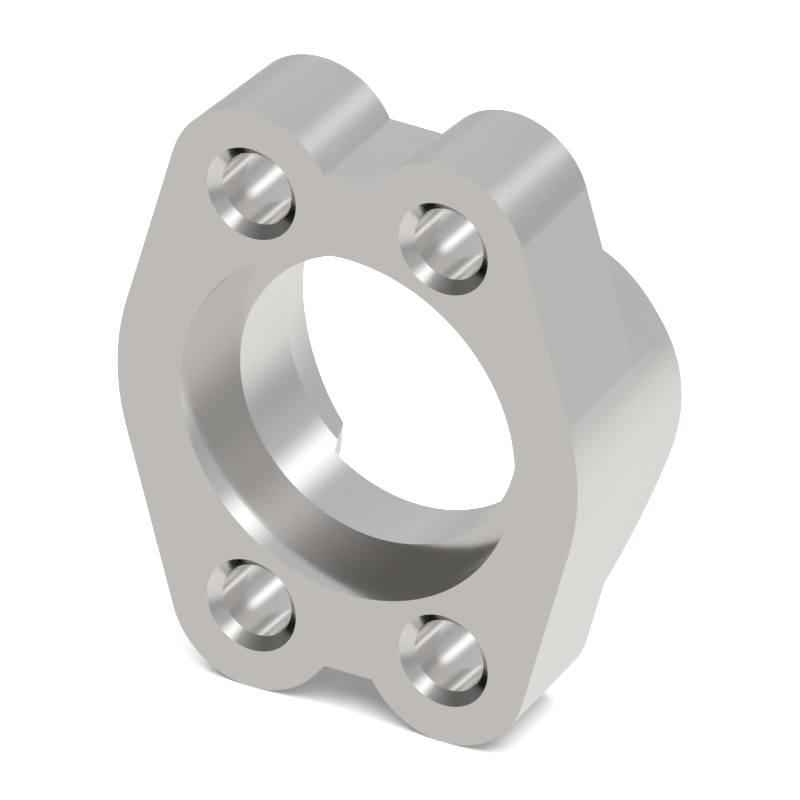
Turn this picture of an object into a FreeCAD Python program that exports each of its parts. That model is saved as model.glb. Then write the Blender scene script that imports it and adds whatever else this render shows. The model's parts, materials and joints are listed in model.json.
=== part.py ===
"""One-piece four-bolt flange clamp that holds a 3/4 inch flanged hose head.

X runs along the narrow bolt spacing, Z points up along the wide one, and Y
runs from the mating face back towards the hose. The origin is the point where
the axis of the bore meets the mating face. Lengths are in millimetres.
"""

import FreeCAD, Part
import math
import os

import Sketcher

SIZES = (
    ("bolt_gap_narrow", 22.2, "between bolt axes, across"),
    ("bolt_gap_wide", 47.6, "between bolt axes, up and down"),
    ("bolt_hole", 7.95, "diameter of a bolt hole"),
    ("bolt_hole_mouth", 10.3, "diameter of the countersink at the mating face"),
    ("bolt_head_room", 18.0, "diameter kept clear behind the plate for a bolt head"),
    ("lobe_radius", 9.44, "round end about each bolt, at the mating face"),
    ("side_radius", 26.63, "bulging side about the bore, at the mating face"),
    ("notch_reach", 28.38, "from the bore axis to the flat between two lobes"),
    ("plate_depth", 14.3, "from the mating face to the bolt seats"),
    ("forging_draft", 3.0, "taper of the plate's edge, in degrees"),
    ("hub_depth", 22.5, "from the mating face to the crown of the hub"),
    ("hub_crown_radius", 27.6, "rounding of the hub's back, about the narrow way"),
    ("hub_inset", 0.15, "step from the plate's rear edge in to the hub's side"),
    ("head_bore", 38.7, "diameter of the recess for the hose head"),
    ("head_bore_depth", 6.3, "depth of that recess"),
    ("neck_bore", 32.1, "diameter of the bore for the hose neck"),
    ("flare_start", 15.85, "from the mating face to where the neck bore widens"),
    ("flare_slope", 17.0, "half angle of that widening, in degrees"),
    ("channel_floor", 19.4, "width between the two ears at the bolt seats"),
    ("channel_slope", 21.0, "lean of each ear's inner wall, in degrees"),
    ("cut_past", 2.0, "how far a cut runs on past the surface it opens"),
)

ORIGIN_POINT = (-1, 1)
ACROSS_AXIS = -1
UP_AXIS = -2
START, END, CENTRE = range(1, 4)
NORMAL = FreeCAD.Vector(0, 0, 1)
TINY = 1e-6


def make_sheet(doc):
    """Spreadsheet of the driving dimensions, one alias for each."""
    sheet = doc.addObject("Spreadsheet::Sheet", "Sizes")
    for row, (alias, size, note) in enumerate(SIZES, start=1):
        sheet.set(f"A{row}", note)
        sheet.set(f"B{row}", str(size))
        sheet.setAlias(f"B{row}", alias)
    doc.recompute()
    return sheet


def make_sketch(body, name, plane):
    """Sketch of a body, laid flat on one of the body's own origin planes."""
    sketch = body.newObject("Sketcher::SketchObject", name)
    for feature in body.Origin.OriginFeatures:
        if feature.Role == plane:
            sketch.AttachmentSupport = [(feature, "")]
    sketch.MapMode = "FlatFace"
    return sketch


def point(x, y):
    return FreeCAD.Vector(x, y, 0)


def dimension(sketch, name, formula, kind, *picks):
    """Named dimension of a sketch, tied to the sheet by a formula."""
    index = sketch.addConstraint(Sketcher.Constraint(kind, *picks))
    sketch.renameConstraint(index, name)
    sketch.setExpression(f"Constraints.{name}", formula)


def draw_polygon(sketch, corners):
    """Closed run of straight lines."""
    count = len(corners)
    for i in range(count):
        sketch.addGeometry(Part.LineSegment(corners[i], corners[(i + 1) % count]), False)
    for i in range(count):
        sketch.addConstraint(Sketcher.Constraint("Coincident", i, END, (i + 1) % count, START))


def hold(sketch, kind, lines):
    """Keeps each of the lines level or upright."""
    for line in lines:
        sketch.addConstraint(Sketcher.Constraint(kind, line))


def draw_bolt_circles(sketch, size, diameter):
    """One circle about each of the four bolt axes."""
    half_across = size("bolt_gap_narrow") / 2
    half_up = size("bolt_gap_wide") / 2
    for side_x, side_z in ((1, 1), (-1, 1), (-1, -1), (1, -1)):
        centre = point(side_x * half_across, side_z * half_up)
        sketch.addGeometry(Part.Circle(centre, NORMAL, size(diameter) / 2), False)
    for i in (1, 2, 3):
        sketch.addConstraint(Sketcher.Constraint("Equal", 0, i))
    sketch.addConstraint(Sketcher.Constraint("Symmetric", 0, CENTRE, 1, CENTRE, UP_AXIS))
    sketch.addConstraint(Sketcher.Constraint("Symmetric", 0, CENTRE, 3, CENTRE, ACROSS_AXIS))
    sketch.addConstraint(Sketcher.Constraint("Symmetric", 1, CENTRE, 2, CENTRE, ACROSS_AXIS))
    dimension(sketch, "half_across", "Sizes.bolt_gap_narrow / 2",
              "DistanceX", *ORIGIN_POINT, 0, CENTRE, half_across)
    dimension(sketch, "half_up", "Sizes.bolt_gap_wide / 2",
              "DistanceY", *ORIGIN_POINT, 0, CENTRE, half_up)
    dimension(sketch, "diameter", f"Sizes.{diameter}", "Diameter", 0, size(diameter))


def draw_outline(sketch, size, inset, inset_formula):
    """Outline of the flange: a lobe about each bolt, straight flanks that run
    tangent to a bulge about the bore on each side, and a flat notch above and
    below. It lies inset inside the outline of the mating face."""
    across = size("bolt_gap_narrow") / 2
    up = size("bolt_gap_wide") / 2
    lobe = size("lobe_radius") - inset
    side = size("side_radius") - inset
    notch = size("notch_reach") - inset

    # Direction square to a flank, and where a lobe meets the notch.
    lean = math.atan2(up, across) - math.acos((side - lobe) / math.hypot(across, up))
    notch_angle = math.pi - math.asin((notch - up) / lobe)
    notch_corner = across + lobe * math.cos(notch_angle)
    flank_foot = point(side * math.cos(lean), side * math.sin(lean))
    flank_top = point(across + lobe * math.cos(lean), up + lobe * math.sin(lean))

    def placed(corner, side_x, side_z):
        return point(corner.x * side_x, corner.y * side_z)

    def arc(x, z, radius, first, last):
        circle = Part.Circle(point(x, z), NORMAL, radius)
        sketch.addGeometry(Part.ArcOfCircle(circle, first, last), False)

    def line(first, last):
        sketch.addGeometry(Part.LineSegment(first, last), False)

    # Twelve pieces, anticlockwise from the right side's bulge.
    arc(0, 0, side, -lean, lean)
    line(flank_foot, flank_top)
    arc(across, up, lobe, lean, notch_angle)
    line(point(notch_corner, notch), point(-notch_corner, notch))
    arc(-across, up, lobe, math.pi - notch_angle, math.pi - lean)
    line(placed(flank_top, -1, 1), placed(flank_foot, -1, 1))
    arc(0, 0, side, math.pi - lean, math.pi + lean)
    line(placed(flank_foot, -1, -1), placed(flank_top, -1, -1))
    arc(-across, -up, lobe, math.pi + lean, math.pi + notch_angle)
    line(point(-notch_corner, -notch), point(notch_corner, -notch))
    arc(across, -up, lobe, -notch_angle, -lean)
    line(placed(flank_top, 1, -1), placed(flank_foot, 1, -1))

    right, upper_notch, left, lower_notch = 0, 3, 6, 9
    lobes = (2, 4, 8, 10)
    pieces = 12
    for i in range(pieces):
        after = (i + 1) % pieces
        sharp = upper_notch in (i, after) or lower_notch in (i, after)
        joint = "Coincident" if sharp else "Tangent"
        sketch.addConstraint(Sketcher.Constraint(joint, i, END, after, START))
    for bulge in (right, left):
        sketch.addConstraint(Sketcher.Constraint("Coincident", bulge, CENTRE, *ORIGIN_POINT))
    sketch.addConstraint(Sketcher.Constraint("Equal", right, left))
    for other in lobes[1:]:
        sketch.addConstraint(Sketcher.Constraint("Equal", lobes[0], other))
    for first, second, axis in ((2, 4, UP_AXIS), (2, 10, ACROSS_AXIS), (4, 8, ACROSS_AXIS)):
        sketch.addConstraint(Sketcher.Constraint("Symmetric", first, CENTRE, second, CENTRE, axis))
    hold(sketch, "Horizontal", (upper_notch, lower_notch))

    dimension(sketch, "lobe_across", "Sizes.bolt_gap_narrow / 2",
              "DistanceX", *ORIGIN_POINT, lobes[0], CENTRE, across)
    dimension(sketch, "lobe_up", "Sizes.bolt_gap_wide / 2",
              "DistanceY", *ORIGIN_POINT, lobes[0], CENTRE, up)
    dimension(sketch, "lobe_radius", f"Sizes.lobe_radius - {inset_formula}",
              "Radius", lobes[0], lobe)
    dimension(sketch, "side_radius", f"Sizes.side_radius - {inset_formula}",
              "Radius", right, side)
    dimension(sketch, "notch_above", f"Sizes.notch_reach - {inset_formula}",
              "DistanceY", *ORIGIN_POINT, upper_notch, START, notch)
    dimension(sketch, "notch_below", f"Sizes.notch_reach - {inset_formula}",
              "DistanceY", lower_notch, START, *ORIGIN_POINT, notch)


def add_plate(doc, body, size):
    """Flat plate with the mating face in front, its edge drafted as forged."""
    sketch = make_sketch(body, "PlateOutline", "XZ_Plane")
    draw_outline(sketch, size, 0, "0")
    plate = body.newObject("PartDesign::Pad", "Plate")
    plate.Profile = sketch
    plate.Reversed = True
    plate.setExpression("Length", "Sizes.plate_depth")
    doc.recompute()

    edge_faces = []
    mating_face = None
    for number, face in enumerate(plate.Shape.Faces, start=1):
        if abs(face.normalAt(0, 0).y) < TINY:
            edge_faces.append(f"Face{number}")
        elif abs(face.CenterOfMass.y) < TINY:
            mating_face = f"Face{number}"
    draft = body.newObject("PartDesign::Draft", "PlateDraft")
    draft.Base = (plate, edge_faces)
    draft.NeutralPlane = (plate, [mating_face])
    draft.setExpression("Angle", "Sizes.forging_draft")
    draft.recompute()


def add_hub(body, size):
    """Straight-sided hub behind the plate, still with a square back."""
    narrowing = size("plate_depth") * math.tan(math.radians(size("forging_draft")))
    inset = narrowing + size("hub_inset")
    formula = "(Sizes.plate_depth * tan(Sizes.forging_draft * 1deg) + Sizes.hub_inset)"
    sketch = make_sketch(body, "HubOutline", "XZ_Plane")
    draw_outline(sketch, size, inset, formula)
    hub = body.newObject("PartDesign::Pad", "Hub")
    hub.Profile = sketch
    hub.Reversed = True
    hub.setExpression("Length", "Sizes.hub_depth")


def round_hub_back(body, size):
    """Everything behind the bolt seats and outside the crown's arc goes."""
    seat = size("plate_depth")
    crown = size("hub_crown_radius")
    centre = size("hub_depth") - crown
    beyond = size("hub_depth") + size("cut_past")
    reach = size("bolt_gap_wide") / 2 + size("lobe_radius") + size("cut_past")
    half_foot = math.sqrt(crown ** 2 - (seat - centre) ** 2)
    spread = math.atan2(half_foot, seat - centre)

    sketch = make_sketch(body, "CrownProfile", "YZ_Plane")
    circle = Part.Circle(point(centre, 0), NORMAL, crown)
    sketch.addGeometry(Part.ArcOfCircle(circle, -spread, spread), False)
    corners = (
        point(seat, half_foot),
        point(seat, reach),
        point(beyond, reach),
        point(beyond, -reach),
        point(seat, -reach),
        point(seat, -half_foot),
    )
    for first, last in zip(corners, corners[1:]):
        sketch.addGeometry(Part.LineSegment(first, last), False)
    pieces = len(corners)
    for i in range(pieces - 1):
        sketch.addConstraint(Sketcher.Constraint("Coincident", i, END, i + 1, START))
    sketch.addConstraint(Sketcher.Constraint("Coincident", pieces - 1, END, 0, START))
    upper_seat, top, rear, bottom, lower_seat = range(1, pieces)
    hold(sketch, "Horizontal", (top, bottom))
    hold(sketch, "Vertical", (upper_seat, lower_seat))
    sketch.addConstraint(Sketcher.Constraint("PointOnObject", 0, CENTRE, ACROSS_AXIS))
    sketch.addConstraint(Sketcher.Constraint("Symmetric", 0, START, 0, END, ACROSS_AXIS))
    sketch.addConstraint(Sketcher.Constraint("Symmetric", rear, START, rear, END, ACROSS_AXIS))
    dimension(sketch, "crown_radius", "Sizes.hub_crown_radius", "Radius", 0, crown)
    dimension(sketch, "crown_centre", "Sizes.hub_crown_radius - Sizes.hub_depth",
              "DistanceX", 0, CENTRE, *ORIGIN_POINT, -centre)
    dimension(sketch, "seat", "Sizes.plate_depth",
              "DistanceX", *ORIGIN_POINT, upper_seat, START, seat)
    dimension(sketch, "beyond", "Sizes.hub_depth + Sizes.cut_past",
              "DistanceX", *ORIGIN_POINT, rear, START, beyond)
    dimension(sketch, "reach", "Sizes.bolt_gap_wide / 2 + Sizes.lobe_radius + Sizes.cut_past",
              "DistanceY", *ORIGIN_POINT, rear, START, reach)
    cut = body.newObject("PartDesign::Pocket", "CrownCut")
    cut.Profile = sketch
    cut.Type = "ThroughAll"
    cut.SideType = "Symmetric"


def cut_channel(body, size):
    """Channel that splits the hub into a left and a right ear."""
    seat = size("plate_depth")
    beyond = size("hub_depth") + size("cut_past")
    half_floor = size("channel_floor") / 2
    slope = math.radians(size("channel_slope"))
    half_mouth = half_floor + (beyond - seat) * math.tan(slope)
    sketch = make_sketch(body, "ChannelProfile", "XY_Plane")
    draw_polygon(sketch, (
        point(-half_floor, seat),
        point(half_floor, seat),
        point(half_mouth, beyond),
        point(-half_mouth, beyond),
    ))
    floor, right_wall, mouth = 0, 1, 2
    sketch.addConstraint(Sketcher.Constraint("Symmetric", floor, START, floor, END, UP_AXIS))
    sketch.addConstraint(Sketcher.Constraint("Symmetric", mouth, START, mouth, END, UP_AXIS))
    dimension(sketch, "seat", "Sizes.plate_depth",
              "DistanceY", *ORIGIN_POINT, floor, START, seat)
    dimension(sketch, "beyond", "Sizes.hub_depth + Sizes.cut_past",
              "DistanceY", *ORIGIN_POINT, mouth, START, beyond)
    dimension(sketch, "floor", "Sizes.channel_floor",
              "DistanceX", floor, START, floor, END, 2 * half_floor)
    dimension(sketch, "slope", "-Sizes.channel_slope * 1deg",
              "Angle", UP_AXIS, START, right_wall, START, -slope)
    cut = body.newObject("PartDesign::Pocket", "Channel")
    cut.Profile = sketch
    cut.Type = "ThroughAll"
    cut.SideType = "Symmetric"


def clear_bolt_heads(body, size):
    """Round clearance over each bolt seat, cut into the ears' corners."""
    sketch = make_sketch(body, "BoltHeadRoom", "XZ_Plane")
    sketch.setExpression("AttachmentOffset.Base.z", "-Sizes.plate_depth")
    draw_bolt_circles(sketch, size, "bolt_head_room")
    cut = body.newObject("PartDesign::Pocket", "BoltSeats")
    cut.Profile = sketch
    cut.Type = "ThroughAll"


def bore_centre(body, size):
    """Turned opening: head recess, neck bore and the flare behind it."""
    head = size("head_bore") / 2
    neck = size("neck_bore") / 2
    step = size("head_bore_depth")
    flare = size("flare_start")
    beyond = size("hub_depth") + size("cut_past")
    slope = math.radians(size("flare_slope"))
    sketch = make_sketch(body, "BoreProfile", "XY_Plane")
    draw_polygon(sketch, (
        point(0, -size("cut_past")),
        point(head, -size("cut_past")),
        point(head, step),
        point(neck, step),
        point(neck, flare),
        point(neck + (beyond - flare) * math.tan(slope), beyond),
        point(0, beyond),
    ))
    front, head_wall, head_floor, neck_wall, flare_wall, back, axis = range(7)
    hold(sketch, "Horizontal", (front, head_floor, back))
    hold(sketch, "Vertical", (head_wall, neck_wall, axis))
    sketch.addConstraint(Sketcher.Constraint("PointOnObject", axis, START, UP_AXIS))
    dimension(sketch, "in_front", "Sizes.cut_past",
              "DistanceY", front, START, *ORIGIN_POINT, size("cut_past"))
    dimension(sketch, "head_radius", "Sizes.head_bore / 2",
              "DistanceX", *ORIGIN_POINT, head_wall, START, head)
    dimension(sketch, "head_depth", "Sizes.head_bore_depth",
              "DistanceY", *ORIGIN_POINT, head_floor, START, step)
    dimension(sketch, "neck_radius", "Sizes.neck_bore / 2",
              "DistanceX", *ORIGIN_POINT, neck_wall, START, neck)
    dimension(sketch, "flare_start", "Sizes.flare_start",
              "DistanceY", *ORIGIN_POINT, flare_wall, START, flare)
    dimension(sketch, "beyond", "Sizes.hub_depth + Sizes.cut_past",
              "DistanceY", *ORIGIN_POINT, back, START, beyond)
    dimension(sketch, "slope", "-Sizes.flare_slope * 1deg",
              "Angle", UP_AXIS, START, flare_wall, START, -slope)
    bore = body.newObject("PartDesign::Groove", "Bore")
    bore.Profile = sketch
    bore.ReferenceAxis = (sketch, ["V_Axis"])
    bore.Angle = 360


def drill_bolt_holes(doc, body, size):
    """Four through holes, countersunk at the mating face."""
    sketch = make_sketch(body, "BoltHoleCircles", "XZ_Plane")
    draw_bolt_circles(sketch, size, "bolt_hole")
    doc.recompute()
    holes = body.newObject("PartDesign::Hole", "BoltHoles")
    holes.Profile = sketch
    holes.DepthType = "ThroughAll"
    holes.HoleCutType = "Countersink"
    holes.HoleCutCustomValues = True
    holes.HoleCutCountersinkAngle = 90
    holes.setExpression("Diameter", "Sizes.bolt_hole")
    holes.setExpression("HoleCutDiameter", "Sizes.bolt_hole_mouth")


def check(doc, body):
    """Stops on any failed object, and on a cut that removes nothing."""
    for item in doc.Objects:
        for fault in ("Invalid", "Error"):
            if fault in item.State:
                raise RuntimeError(f"{item.Label} is {fault}")
    for name in ("CrownCut", "Channel", "BoltSeats", "Bore", "BoltHoles"):
        cut = doc.getObject(name)
        if cut.Shape.Volume > cut.BaseFeature.Shape.Volume - TINY:
            raise RuntimeError(f"{name} removes nothing")
    shape = body.Shape
    if shape.isNull() or not shape.isValid() or len(shape.Solids) != 1:
        raise RuntimeError(f"{body.Label} is not one valid solid")


def main():
    doc = FreeCAD.newDocument("FlangeClamp")
    sheet = make_sheet(doc)

    def size(alias):
        return float(sheet.get(alias))

    body = doc.addObject("PartDesign::Body", "FlangeClamp")
    body.Label = "flange_clamp"
    add_plate(doc, body, size)
    add_hub(body, size)
    round_hub_back(body, size)
    cut_channel(body, size)
    clear_bolt_heads(body, size)
    bore_centre(body, size)
    drill_bolt_holes(doc, body, size)
    doc.recompute()
    check(doc, body)

    os.makedirs("parts", exist_ok=True)
    body.Shape.exportStep(f"parts/{body.Label}.step")
    box = body.Shape.BoundBox
    print(f"{body.Label}: {box.XLength:.2f} x {box.YLength:.2f} x {box.ZLength:.2f} mm,"
          f" {body.Shape.Volume / 1000:.2f} cm3")


main()
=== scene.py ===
"""Looks of a one-piece hydraulic flange clamp: satin machined steel in soft studio light.

Lengths are in metres. X runs across the narrow bolt spacing, Z points up along
the wide one, and Y runs from the mating face back towards the hose.
"""

import json
import math

import bpy
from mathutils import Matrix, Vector


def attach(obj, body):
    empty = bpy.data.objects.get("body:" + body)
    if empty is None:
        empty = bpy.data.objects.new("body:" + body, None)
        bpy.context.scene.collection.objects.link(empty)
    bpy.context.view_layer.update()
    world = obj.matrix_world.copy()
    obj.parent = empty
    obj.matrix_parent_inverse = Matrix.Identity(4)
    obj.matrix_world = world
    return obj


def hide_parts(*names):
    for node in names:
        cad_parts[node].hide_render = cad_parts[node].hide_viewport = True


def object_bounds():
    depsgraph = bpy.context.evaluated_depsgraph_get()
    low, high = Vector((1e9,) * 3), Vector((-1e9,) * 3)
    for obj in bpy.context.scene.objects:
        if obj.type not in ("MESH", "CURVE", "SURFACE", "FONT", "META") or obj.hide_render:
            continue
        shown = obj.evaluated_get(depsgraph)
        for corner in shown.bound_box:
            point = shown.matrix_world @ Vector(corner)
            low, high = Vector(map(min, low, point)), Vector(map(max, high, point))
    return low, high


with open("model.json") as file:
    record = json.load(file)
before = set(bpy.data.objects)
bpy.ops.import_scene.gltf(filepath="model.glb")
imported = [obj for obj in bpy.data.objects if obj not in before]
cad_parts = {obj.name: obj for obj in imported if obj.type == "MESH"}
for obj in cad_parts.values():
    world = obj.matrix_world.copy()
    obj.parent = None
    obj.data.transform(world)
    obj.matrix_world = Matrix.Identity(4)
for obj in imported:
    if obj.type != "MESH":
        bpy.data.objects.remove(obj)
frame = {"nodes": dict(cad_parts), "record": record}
cad_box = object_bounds()

# The photograph's view: where the bore axis meets the mating face, and pixels to the metre.
PHOTO_PIXELS = 800
PHOTO_SCALE = 9982.0
FACE_CENTRE_PIXEL = (347.35, 427.23)
VIEW_AZIMUTH = math.radians(30)
VIEW_ELEVATION = math.radians(30)
CAMERA_DISTANCE = 1.0

FLOOR_WIDTH = 6.0
FLOOR_TINT = (0.93, 0.93, 0.93, 1.0)
OVERHEAD_WIDTH = 2.5
OVERHEAD_HEIGHT = 1.4
OVERHEAD_GLOW = 3.2

# Light from each part of the studio, as seen mirrored in the steel.
GROUND_NEAR = (0.95, 0.94, 0.92, 1.0)
GROUND_RIGHT = (0.86, 0.85, 0.835, 1.0)
GROUND_LEFT = (0.81, 0.787, 0.769, 1.0)
BACKDROP_HIGH = (0.62, 0.62, 0.62, 1.0)
BACKDROP_LOW = (0.53, 0.53, 0.53, 1.0)
BACKDROP_RIGHT = (0.495, 0.495, 0.495, 1.0)
FRONT_RIGHT = (0.50, 0.50, 0.50, 1.0)
FRONT_RIGHT_HIGH = (0.61, 0.61, 0.61, 1.0)
FRONT_LEFT = (0.165, 0.16, 0.155, 1.0)
FRONT_TOP_GAIN = 1.35

# Where one part fades into the next: how far a direction goes across, back, up or down.
BACKDROP_TURNS_RIGHT = (0.15, 0.65)
BACKDROP_RISES = (-0.05, 0.35)
FRONT_TURNS_RIGHT = (-0.57, 0.62)
FRONT_RIGHT_RISES = (0.0, 0.3)
FRONT_MEETS_TOP = (0.62, 0.74)
FRONT_TURNS_BACK = (-0.1, 0.5)
GROUND_TURNS_RIGHT = (-0.45, 0.25)
GROUND_NEAR_PLACE = -0.36
GROUND_NEAR_REACH = (0.0, 0.32)
GROUND_TILT = 0.17
GROUND_TILT_FADES_IN = (-0.75, -0.4)
WALLS_MEET_GROUND = (0.16, 0.56)

# Long soft strip light on the right of the ceiling, its ends fading out forwards and back.
STRIP_GLOW = 1.55
STRIP_HEIGHT = math.radians(56.9)
STRIP_HALF_WIDTH = math.radians(26)
STRIP_TURN = math.radians(7.5)
STRIP_BACK_END = (0.66, 0.86)
STRIP_FRONT_END = (-0.56, -0.82)

# Steel as seen square on and at a glance, and the slant from which it looks as at a glance.
STEEL = (0.636, 0.62, 0.606, 1.0)
STEEL_EDGE = (0.795, 0.78, 0.766, 1.0)
EDGE_SLANT = 0.62
STEEL_ROUGHNESS = 0.15

# Blend of a Layer Weight node at which it gives the slant unbent.
UNBENT = 0.5

# Fine finish: how large its marks are, how deep, and how much they shade and blur.
RING_PITCH = 0.00030
RING_DETAIL = 2.0
GRAIN_SIZE = 0.00040
GRAIN_DETAIL = 3.0
CLOUD_SIZE = 0.012
CLOUD_DETAIL = 1.0
FINISH_DEPTH = 1.5e-6
FINISH_SHADE = 0.06
FINISH_BLUR = 0.06
CLOUD_SHADE = 0.04

# How near a place has to be to lie on a face, and how squarely a face has to face a way.
SLACK = 0.00002
TURNED_SLOPE = 0.05
SEAT_FACES_BACK = 0.5

# Turned faces and bolt holes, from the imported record.
MOUNTS = {mount["name"]: mount for mount in frame["record"]["mounts"]}
TURNED_RADIUS = MOUNTS["head_recess"]["dims"]["r_mm"] / 1000 + SLACK
SEAT_DEPTH = MOUNTS["bolt_seats"]["pos_m"][1]
HOLES = MOUNTS["bolt_holes"]["dims"]
HOLE_RADIUS = HOLES["hole_r_mm"] / 1000
HALF_ACROSS = HOLES["spacing_x_mm"] / 2000
HALF_UP = HOLES["spacing_y_mm"] / 2000

# How far the holes' rear countersinks reach in and out, and how finely places are merged.
COUNTERSINK = 0.001175
MERGE_DIGITS = 8


def add_node(tree, kind, **inputs):
    """Shader node with some of its inputs set, by name with spaces as underscores."""
    node = tree.nodes.new(kind)
    for name, value in inputs.items():
        node.inputs[name.replace("_", " ")].default_value = value
    return node


def feed(tree, sockets, operands):
    """Gives each input socket, in order, a constant or a link."""
    for socket, operand in zip(sockets, operands):
        if isinstance(operand, bpy.types.NodeSocket):
            tree.links.new(operand, socket)
        else:
            socket.default_value = operand


def compute(tree, operation, *operands):
    """Result of a calculation on numbers, each a constant or a socket."""
    node = tree.nodes.new("ShaderNodeMath")
    node.operation = operation
    feed(tree, node.inputs, operands)
    return node.outputs["Value"]


def vector_math(tree, operation, *operands, output="Vector"):
    """Result of a calculation on vectors or colours, each a constant or a socket."""
    node = tree.nodes.new("ShaderNodeVectorMath")
    node.operation = operation
    feed(tree, node.inputs, operands)
    return node.outputs[output]


def ramp(tree, source, span, low=0.0, high=1.0):
    """Smooth step of a value from low at the start of the span to high at its end."""
    node = tree.nodes.new("ShaderNodeMapRange")
    node.interpolation_type = "SMOOTHSTEP"
    feed(tree, node.inputs, (source, *span, low, high))
    return node.outputs["Result"]


def blend(tree, share, first, second):
    """First colour where the share is 0, second where it is 1; each a constant or a socket."""
    node = tree.nodes.new("ShaderNodeMix")
    node.data_type = "RGBA"
    colours = [socket for socket in node.inputs if socket.type == "RGBA"]
    feed(tree, [node.inputs["Factor"], *colours], (share, first, second))
    return next(socket for socket in node.outputs if socket.type == "RGBA")


def noise(tree, source, size, detail, socket="Vector"):
    """Noise from 0 to 1 whose features have the given size."""
    node = add_node(tree, "ShaderNodeTexNoise", Scale=1 / size, Detail=detail)
    if socket == "W":
        node.noise_dimensions = "1D"
    tree.links.new(source, node.inputs[socket])
    return node.outputs["Fac"]


def aim_camera():
    """Parallel view of the photograph, from the right and above."""
    towards = Vector((
        math.sin(VIEW_AZIMUTH) * math.cos(VIEW_ELEVATION),
        -math.cos(VIEW_AZIMUTH) * math.cos(VIEW_ELEVATION),
        math.sin(VIEW_ELEVATION),
    ))
    right = Vector((math.cos(VIEW_AZIMUTH), math.sin(VIEW_AZIMUTH), 0.0))
    up = towards.cross(right)
    middle = PHOTO_PIXELS / 2
    shown = right * (middle - FACE_CENTRE_PIXEL[0]) + up * (FACE_CENTRE_PIXEL[1] - middle)
    data = bpy.data.cameras.new("camera")
    data.type = "ORTHO"
    data.ortho_scale = PHOTO_PIXELS / PHOTO_SCALE
    camera = bpy.data.objects.new("camera", data)
    bpy.context.scene.collection.objects.link(camera)
    camera.location = shown / PHOTO_SCALE + towards * CAMERA_DISTANCE
    camera.rotation_euler = towards.to_track_quat("Z", "Y").to_euler()
    bpy.context.scene.camera = camera


def strip_glow(tree, across, back, up):
    """Glow of the strip light by direction."""
    aside = compute(tree, "MULTIPLY", across, math.cos(STRIP_TURN))
    aside = compute(tree, "MULTIPLY_ADD", back, -math.sin(STRIP_TURN), aside)
    height = compute(tree, "ARCTAN2", up, aside)
    offset = compute(tree, "ABSOLUTE", compute(tree, "SUBTRACT", height, STRIP_HEIGHT))
    glow = ramp(tree, offset, (0.0, STRIP_HALF_WIDTH), STRIP_GLOW, 0.0)
    for end in (STRIP_BACK_END, STRIP_FRONT_END):
        glow = compute(tree, "MULTIPLY", glow, ramp(tree, back, end, 1.0, 0.0))
    return glow


def light_studio():
    """Soft surroundings: bright ground, pale backdrop, dark front left, strip light above."""
    world = bpy.data.worlds.new("studio")
    bpy.context.scene.world = world
    world.use_nodes = True
    tree = world.node_tree
    tree.nodes.clear()
    split = tree.nodes.new("ShaderNodeSeparateXYZ")
    tree.links.new(tree.nodes.new("ShaderNodeTexCoord").outputs["Generated"], split.inputs["Vector"])
    across, back, up = split.outputs

    behind = blend(tree, ramp(tree, across, BACKDROP_TURNS_RIGHT), BACKDROP_LOW, BACKDROP_RIGHT)
    behind = blend(tree, ramp(tree, up, BACKDROP_RISES), behind, BACKDROP_HIGH)
    right = blend(tree, ramp(tree, up, FRONT_RIGHT_RISES), FRONT_RIGHT, FRONT_RIGHT_HIGH)
    in_front = blend(tree, ramp(tree, across, FRONT_TURNS_RIGHT), FRONT_LEFT, right)
    gain = ramp(tree, up, FRONT_MEETS_TOP, 1.0, FRONT_TOP_GAIN)
    in_front = vector_math(tree, "MULTIPLY", in_front, gain)
    walls = blend(tree, ramp(tree, back, FRONT_TURNS_BACK), in_front, behind)

    ground = blend(tree, ramp(tree, across, GROUND_TURNS_RIGHT), GROUND_LEFT, GROUND_RIGHT)
    away = compute(tree, "ABSOLUTE", compute(tree, "SUBTRACT", back, GROUND_NEAR_PLACE))
    ground = blend(tree, ramp(tree, away, GROUND_NEAR_REACH, 1.0, 0.0), ground, GROUND_NEAR)
    tilt = ramp(tree, back, GROUND_TILT_FADES_IN, 0.0, GROUND_TILT)
    below = compute(tree, "SUBTRACT", compute(tree, "MULTIPLY", tilt, across), up)
    surroundings = blend(tree, ramp(tree, below, WALLS_MEET_GROUND), walls, ground)

    lit = vector_math(tree, "ADD", surroundings, strip_glow(tree, across, back, up))
    background = tree.nodes.new("ShaderNodeBackground")
    tree.links.new(lit, background.inputs["Color"])
    output = tree.nodes.new("ShaderNodeOutputWorld")
    tree.links.new(background.outputs["Background"], output.inputs["Surface"])


def add_overhead_light():
    """Square soft light straight above, which lights the floor and isn't mirrored in the steel."""
    data = bpy.data.lights.new("overhead", "AREA")
    data.size = OVERHEAD_WIDTH
    data.energy = OVERHEAD_GLOW * math.pi * OVERHEAD_WIDTH ** 2
    light = bpy.data.objects.new("overhead", data)
    bpy.context.scene.collection.objects.link(light)
    light.location.z = OVERHEAD_HEIGHT
    light.visible_glossy = False


def lay_floor(height):
    """Plain pale floor at the foot of the part."""
    half = FLOOR_WIDTH / 2
    mesh = bpy.data.meshes.new("floor")
    corners = [(-half, -half, height), (half, -half, height), (half, half, height), (-half, half, height)]
    mesh.from_pydata(corners, [], [(0, 1, 2, 3)])
    floor = bpy.data.objects.new("floor", mesh)
    bpy.context.scene.collection.objects.link(floor)
    paint = bpy.data.materials.new("pale_floor")
    paint.use_nodes = True
    tree = paint.node_tree
    tree.nodes.clear()
    matt = add_node(tree, "ShaderNodeBsdfDiffuse", Color=FLOOR_TINT)
    output = tree.nodes.new("ShaderNodeOutputMaterial")
    tree.links.new(matt.outputs["BSDF"], output.inputs["Surface"])
    mesh.materials.append(paint)
    floor.visible_glossy = False


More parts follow.
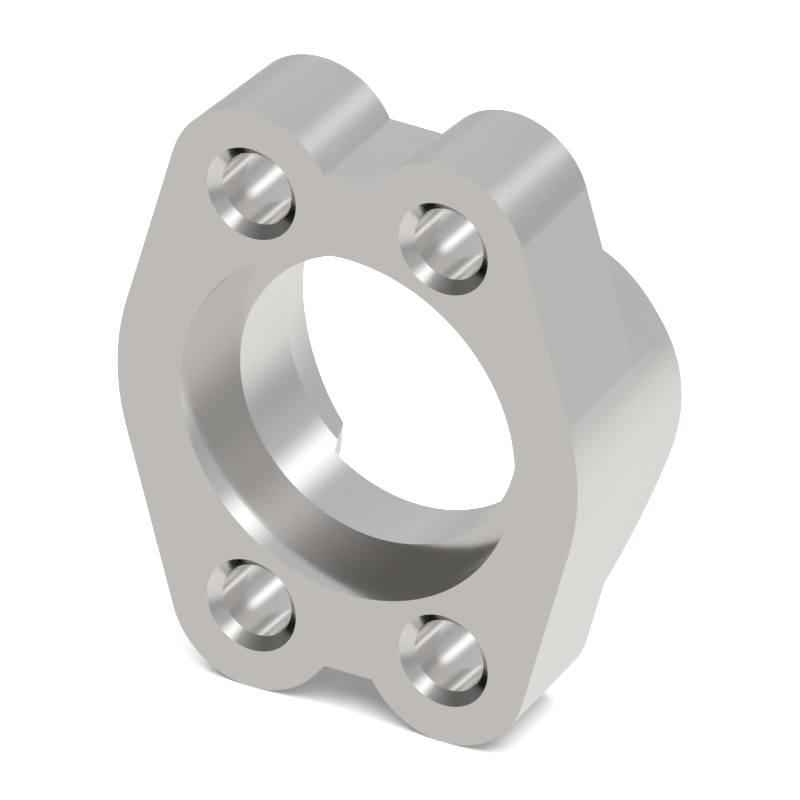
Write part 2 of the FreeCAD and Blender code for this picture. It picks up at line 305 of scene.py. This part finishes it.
def turned_mask(tree, place, spoke, radius, depth):
    """1 on the faces that are turned about the bore: mating face, recess, neck bore and flare."""
    normal = place.outputs["Normal"]
    around = vector_math(tree, "CROSS_PRODUCT", place.outputs["Object"], (0.0, 1.0, 0.0))
    slope = vector_math(tree, "DOT_PRODUCT", around, normal, output="Value")
    most = compute(tree, "MULTIPLY", radius, TURNED_SLOPE)
    round_face = compute(tree, "LESS_THAN", compute(tree, "ABSOLUTE", slope), most)

    outward = vector_math(tree, "DOT_PRODUCT", spoke, normal, output="Value")
    in_plate = compute(tree, "LESS_THAN", depth, SEAT_DEPTH - SLACK)
    of_bore = compute(tree, "MAXIMUM", in_plate, compute(tree, "LESS_THAN", outward, 0.0))
    of_bore = compute(tree, "MULTIPLY", of_bore, compute(tree, "LESS_THAN", radius, TURNED_RADIUS))
    mating_face = compute(tree, "LESS_THAN", depth, SLACK)
    return compute(tree, "MULTIPLY", round_face, compute(tree, "MAXIMUM", of_bore, mating_face))


def make_steel():
    """Satin steel: fine rings on the turned faces, an even grain on the rest."""
    steel = bpy.data.materials.new("satin_steel")
    steel.use_nodes = True
    tree = steel.node_tree
    shader = tree.nodes["Principled BSDF"]
    place = tree.nodes.new("ShaderNodeTexCoord")
    position = place.outputs["Object"]
    split = tree.nodes.new("ShaderNodeSeparateXYZ")
    tree.links.new(position, split.inputs["Vector"])
    depth = split.outputs["Y"]
    spoke = vector_math(tree, "MULTIPLY", position, (1.0, 0.0, 1.0))
    radius = vector_math(tree, "LENGTH", spoke, output="Value")

    rings = noise(tree, compute(tree, "ADD", radius, depth), RING_PITCH, RING_DETAIL, "W")
    grain = noise(tree, position, GRAIN_SIZE, GRAIN_DETAIL)
    clouds = noise(tree, position, CLOUD_SIZE, CLOUD_DETAIL)
    turned = turned_mask(tree, place, spoke, radius, depth)
    finish = compute(tree, "MULTIPLY_ADD", turned, compute(tree, "SUBTRACT", rings, grain), grain)

    slant = add_node(tree, "ShaderNodeLayerWeight", Blend=UNBENT).outputs["Facing"]
    tone = blend(tree, ramp(tree, slant, (0.0, EDGE_SLANT)), STEEL, STEEL_EDGE)
    plain = 1 - FINISH_SHADE / 2 - CLOUD_SHADE / 2
    shade = compute(tree, "MULTIPLY_ADD", finish, FINISH_SHADE, plain)
    shade = compute(tree, "MULTIPLY_ADD", clouds, CLOUD_SHADE, shade)
    tree.links.new(vector_math(tree, "MULTIPLY", tone, shade), shader.inputs["Base Color"])

    blur = compute(tree, "MULTIPLY_ADD", finish, FINISH_BLUR, STEEL_ROUGHNESS - FINISH_BLUR / 2)
    tree.links.new(blur, shader.inputs["Roughness"])
    relief = add_node(tree, "ShaderNodeBump", Strength=1.0, Distance=FINISH_DEPTH)
    tree.links.new(finish, relief.inputs["Height"])
    tree.links.new(relief.outputs["Normal"], shader.inputs["Normal"])
    shader.inputs["Metallic"].default_value = 1.0
    return steel


def rear_mouth(place):
    """What the rear countersink makes of a place on a bolt hole's rear rim: its foot on the
    hole's wall, its edge on the bolt seat, and the way its slant faces. None elsewhere."""
    backwards = Vector((0.0, 1.0, 0.0))
    for across in (-HALF_ACROSS, HALF_ACROSS):
        for up in (-HALF_UP, HALF_UP):
            spoke = place - Vector((across, SEAT_DEPTH, up))
            if abs(spoke.y) < SLACK and abs(spoke.length - HOLE_RADIUS) < SLACK:
                outwards = spoke.normalized()
                foot = place - backwards * COUNTERSINK
                edge = place + outwards * COUNTERSINK
                return foot, edge, (backwards - outwards).normalized()
    return None


def countersink_seats(clamp):
    """Copy of the clamp whose bolt holes are countersunk at the bolt seats as well.

    At each rear rim the hole's wall ends at the countersink's foot and the seat at its
    edge, which turns neither, and a ring of slanted faces joins the two.
    """
    source = clamp.data
    places = {}
    faces = []
    normals = []

    def add_face(corners):
        """Face through corners, each a place and a normal. Corners at one place are merged."""
        keys = [place.to_tuple(MERGE_DIGITS) for place, normal in corners]
        faces.append([places.setdefault(key, len(places)) for key in keys])
        normals.extend(normal for place, normal in corners)

    for face in source.polygons:
        on_seat = face.normal.y > SEAT_FACES_BACK
        corners = []
        mouths = []
        for index in face.loop_indices:
            place = source.vertices[source.loops[index].vertex_index].co
            mouth = rear_mouth(place)
            if mouth:
                foot, edge, facing = mouth
                place = edge if on_seat else foot
            corners.append((place, source.corner_normals[index].vector))
            mouths.append(mouth)
        add_face(corners)
        for first, second in zip(mouths, mouths[1:] + mouths[:1]):
            if first and second and not on_seat:
                first_foot, first_edge, first_facing = first
                second_foot, second_edge, second_facing = second
                add_face([
                    (second_foot, second_facing),
                    (first_foot, first_facing),
                    (first_edge, first_facing),
                    (second_edge, second_facing),
                ])

    mesh = bpy.data.meshes.new("countersunk_clamp")
    mesh.from_pydata(list(places), [], faces)
    mesh.shade_smooth()
    mesh.normals_split_custom_set(normals)
    piece = bpy.data.objects.new("countersunk_clamp", mesh)
    bpy.context.scene.collection.objects.link(piece)
    return piece


def main():
    """Sets the view, the light and the floor, and puts the finished clamp in its place."""
    bpy.context.scene.view_settings.view_transform = "Standard"
    aim_camera()
    light_studio()
    add_overhead_light()
    lay_floor(cad_box[0][2])

    clamp = countersink_seats(frame["nodes"]["flange_clamp"])
    clamp.data.materials.append(make_steel())
    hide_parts("flange_clamp")
    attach(clamp, "root")


main()
